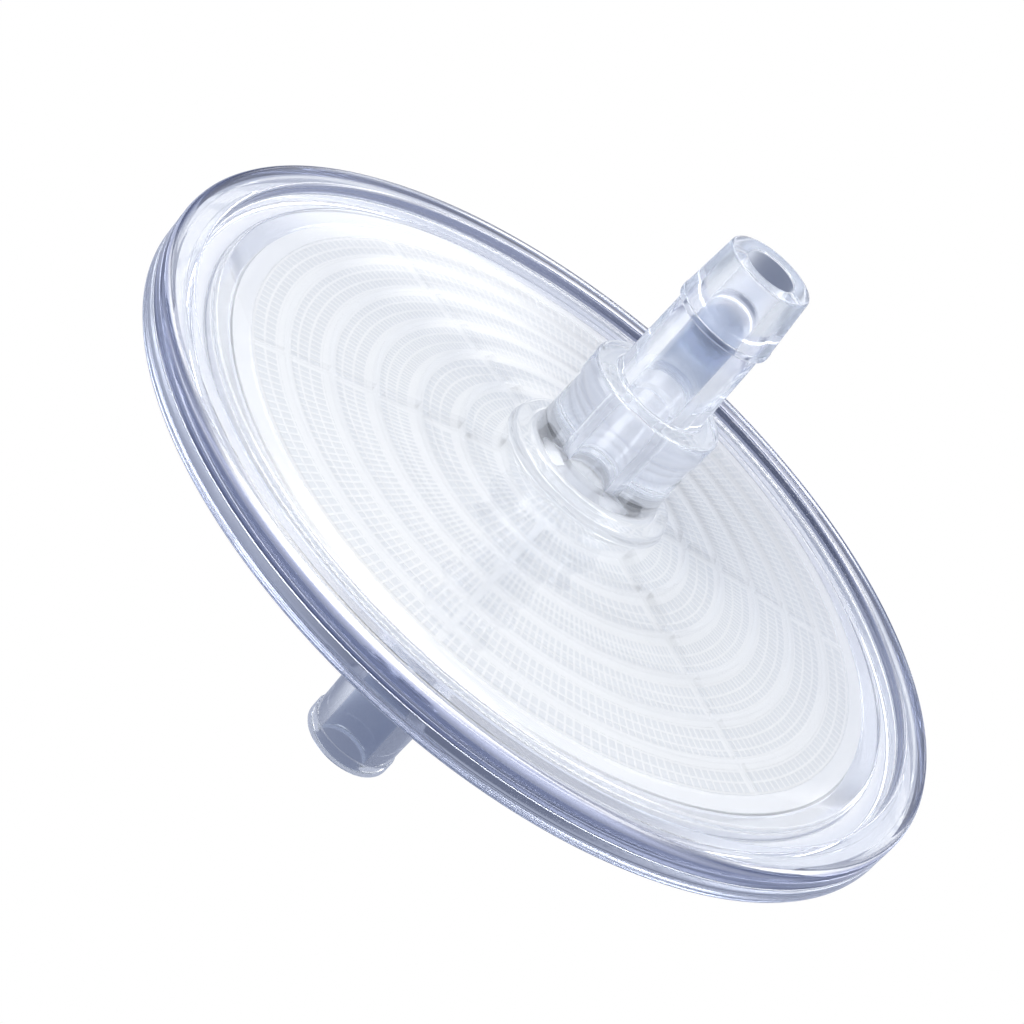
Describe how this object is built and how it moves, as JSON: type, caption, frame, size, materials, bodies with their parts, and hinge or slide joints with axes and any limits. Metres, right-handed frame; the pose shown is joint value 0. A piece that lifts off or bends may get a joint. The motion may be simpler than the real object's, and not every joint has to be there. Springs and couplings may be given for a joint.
{
  "type": "in-line disc filter",
  "caption": "Clear round in-line antibacterial filter: welded moulded shells around a membrane, with a stepped hose barb on one side and a short-lipped hose port on the other.",
  "frame": {"origin": "centre of the outlet port's mouth, on the port axis, at the lowest point of the filter as it stands on that port", "axes": "+Z along the shared axis of both ports, from the outlet port's mouth to the inlet barb's tip; X and Y lie in the plane of the disc, +X through a flow channel of the outlet shell"},
  "size_m": [0.064, 0.064, 0.0483],
  "materials": {
    "inlet_shell_clear": "clear, polished",
    "outlet_shell_clear": "clear, polished",
    "net_white": "fine net, translucent white",
    "membrane_white": "smooth matt white membrane"
  },
  "bodies": {
    "root": {"inlet_shell": "inlet_shell_clear", "outlet_shell": "outlet_shell_clear", "support_net": "net_white", "filter_membrane": "membrane_white"}
  },
  "joints": []
}
